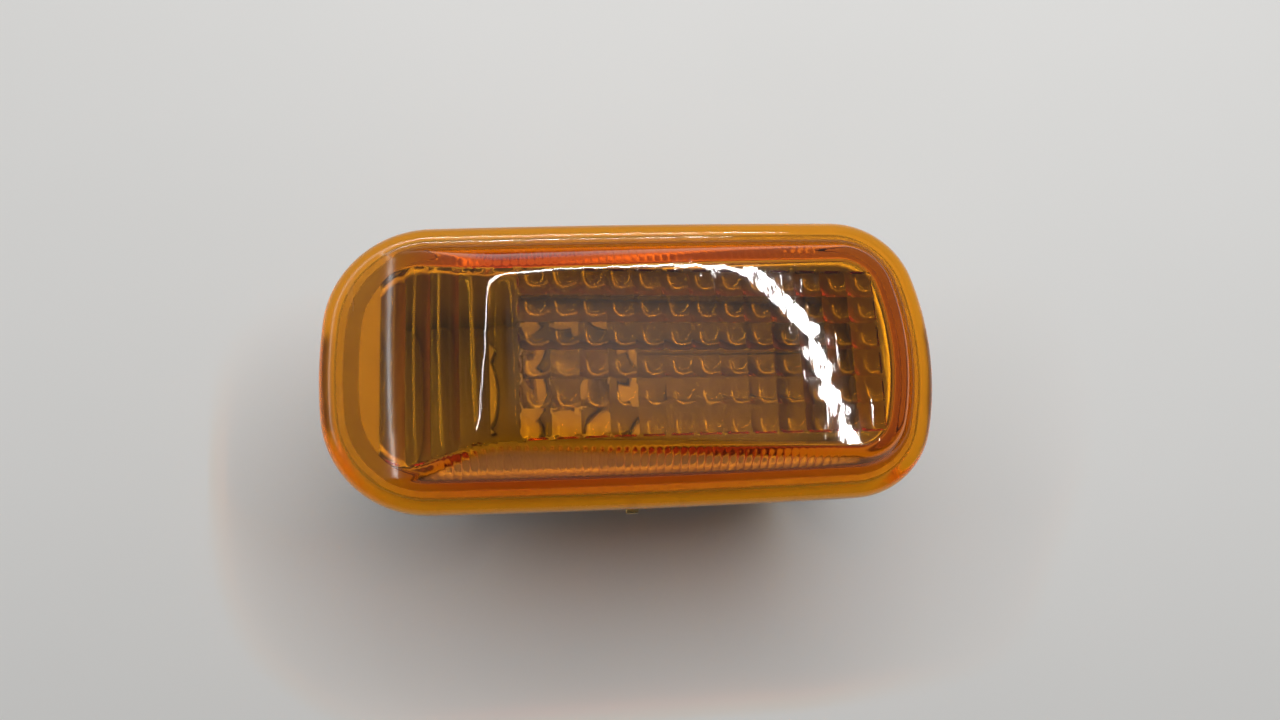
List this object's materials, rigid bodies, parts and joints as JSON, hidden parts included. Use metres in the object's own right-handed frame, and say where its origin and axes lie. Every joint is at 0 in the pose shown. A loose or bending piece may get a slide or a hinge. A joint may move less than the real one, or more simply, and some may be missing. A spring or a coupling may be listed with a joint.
{
  "type": "side turn signal lamp",
  "caption": "Flush side turn signal lamp: amber ribbed lens on a black tub, twist-in wedge bulb holder, foam gasket, fixed hook and spring clip.",
  "frame": {"origin": "centre of the lens outline in plan, at the feet of the two rear guard ribs", "axes": "+X along the lamp towards the low end of the dome and the spring clip, +Z out of the lens"},
  "size_m": [0.09, 0.0432, 0.0491],
  "materials": {
    "amber_lens": "clear amber acrylic, glossy with fine scuffs",
    "sealant": "matt bonding bead",
    "black_housing": "moulded black, fine texture",
    "gasket_foam": "open foam",
    "spring_steel": "zinc plated, dull",
    "seal_rubber": "matt",
    "holder_plastic": "moulded dark grey",
    "contact_brass": "stamped strip",
    "bulb_glass": "clear",
    "tungsten": "coiled wire",
    "lead_wire": "drawn wire"
  },
  "bodies": {
    "root": {"lens": "amber_lens", "lens_sealant": "sealant", "housing": "black_housing", "body_gasket": "gasket_foam", "clip_pin": "spring_steel"},
    "seal": {"holder_seal": "seal_rubber"},
    "holder": {"bulb_holder": "holder_plastic", "contact_left": "contact_brass", "contact_right": "contact_brass"},
    "bulb": {"bulb_glass": "bulb_glass", "bulb_filament": "tungsten", "bulb_lead_left": "lead_wire", "bulb_lead_right": "lead_wire"},
    "clip": {"spring_clip": "spring_steel"}
  },
  "joints": [
    {"name": "holder_pull", "type": "slide", "parent": "root", "child": "seal", "axis": [0, 0, -1], "range_m": [0, 0.04]},
    {"name": "holder_turn", "type": "hinge", "parent": "seal", "child": "holder", "pos_m": [-0.009, 0, 0.015], "axis": [0, 0, 1], "range_deg": [0, 45]},
    {"name": "bulb_pull", "type": "slide", "parent": "holder", "child": "bulb", "axis": [0, 0, 1], "range_m": [0, 0.006]},
    {"name": "clip_flex", "type": "hinge", "parent": "root", "child": "clip", "pos_m": [0.04043, 0, 0.0179], "axis": [0, -1, 0], "range_deg": [0, 12], "stiffness_Nm_per_rad": 0.5}
  ]
}
